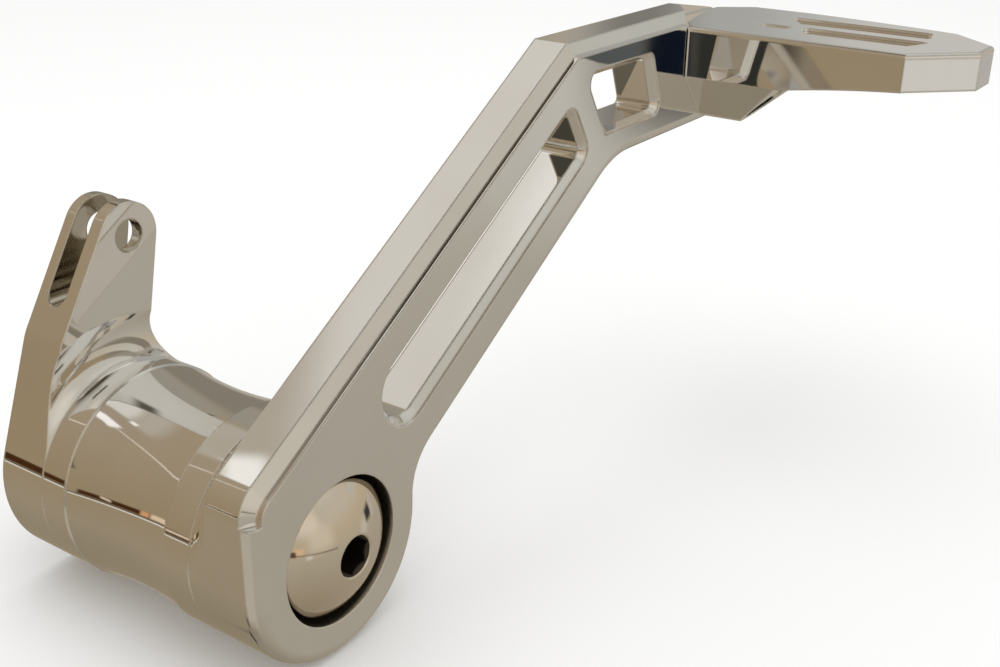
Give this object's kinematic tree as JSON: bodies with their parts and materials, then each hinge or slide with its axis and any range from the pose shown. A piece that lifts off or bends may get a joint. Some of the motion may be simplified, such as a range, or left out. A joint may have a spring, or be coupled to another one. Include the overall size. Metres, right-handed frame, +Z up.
{
  "type": "rear brake pedal",
  "caption": "Foot brake pedal: a slotted chrome arm with a grooved foot pad, turning on a bolted pivot barrel whose inner end carries a clevis lever for the brake rod.",
  "frame": {"origin": "on the pivot axis, on the flat seat that the pivot bolt pulls against the frame", "axes": "+Y along the pivot axis into the frame, +X forward towards the foot pad, +Z up out of the pad's top face"},
  "size_m": [0.2223, 0.1714, 0.1232],
  "materials": {
    "polished_chrome": "mirror polished plate",
    "ground_steel": "ground",
    "dark_steel": "oiled",
    "bearing_bronze": "machined",
    "seal_rubber": "moulded"
  },
  "bodies": {
    "pivot": {"pivot_bolt": "polished_chrome", "pivot_sleeve": "ground_steel", "inboard_thrust_washer": "ground_steel", "outboard_thrust_washer": "ground_steel"},
    "pedal": {"brake_arm": "polished_chrome", "pivot_barrel": "polished_chrome", "clevis_lever": "polished_chrome", "foot_pad": "polished_chrome", "inboard_bushing": "bearing_bronze", "outboard_bushing": "bearing_bronze", "inboard_dust_seal": "seal_rubber", "outboard_seal_ring": "seal_rubber", "pad_screw": "dark_steel", "pad_lock_washer": "ground_steel", "pad_dowel": "ground_steel", "assembly_screw_1": "dark_steel", "assembly_screw_2": "dark_steel", "assembly_screw_3": "dark_steel", "lever_dowel_1": "ground_steel", "lever_dowel_2": "ground_steel", "arm_dowel_1": "ground_steel", "arm_dowel_2": "ground_steel"}
  },
  "joints": [
    {"name": "pedal_pivot", "type": "hinge", "parent": "pivot", "child": "pedal", "pos_m": [0, 0, 0], "axis": [0, 1, 0], "range_deg": [0, 12]}
  ]
}
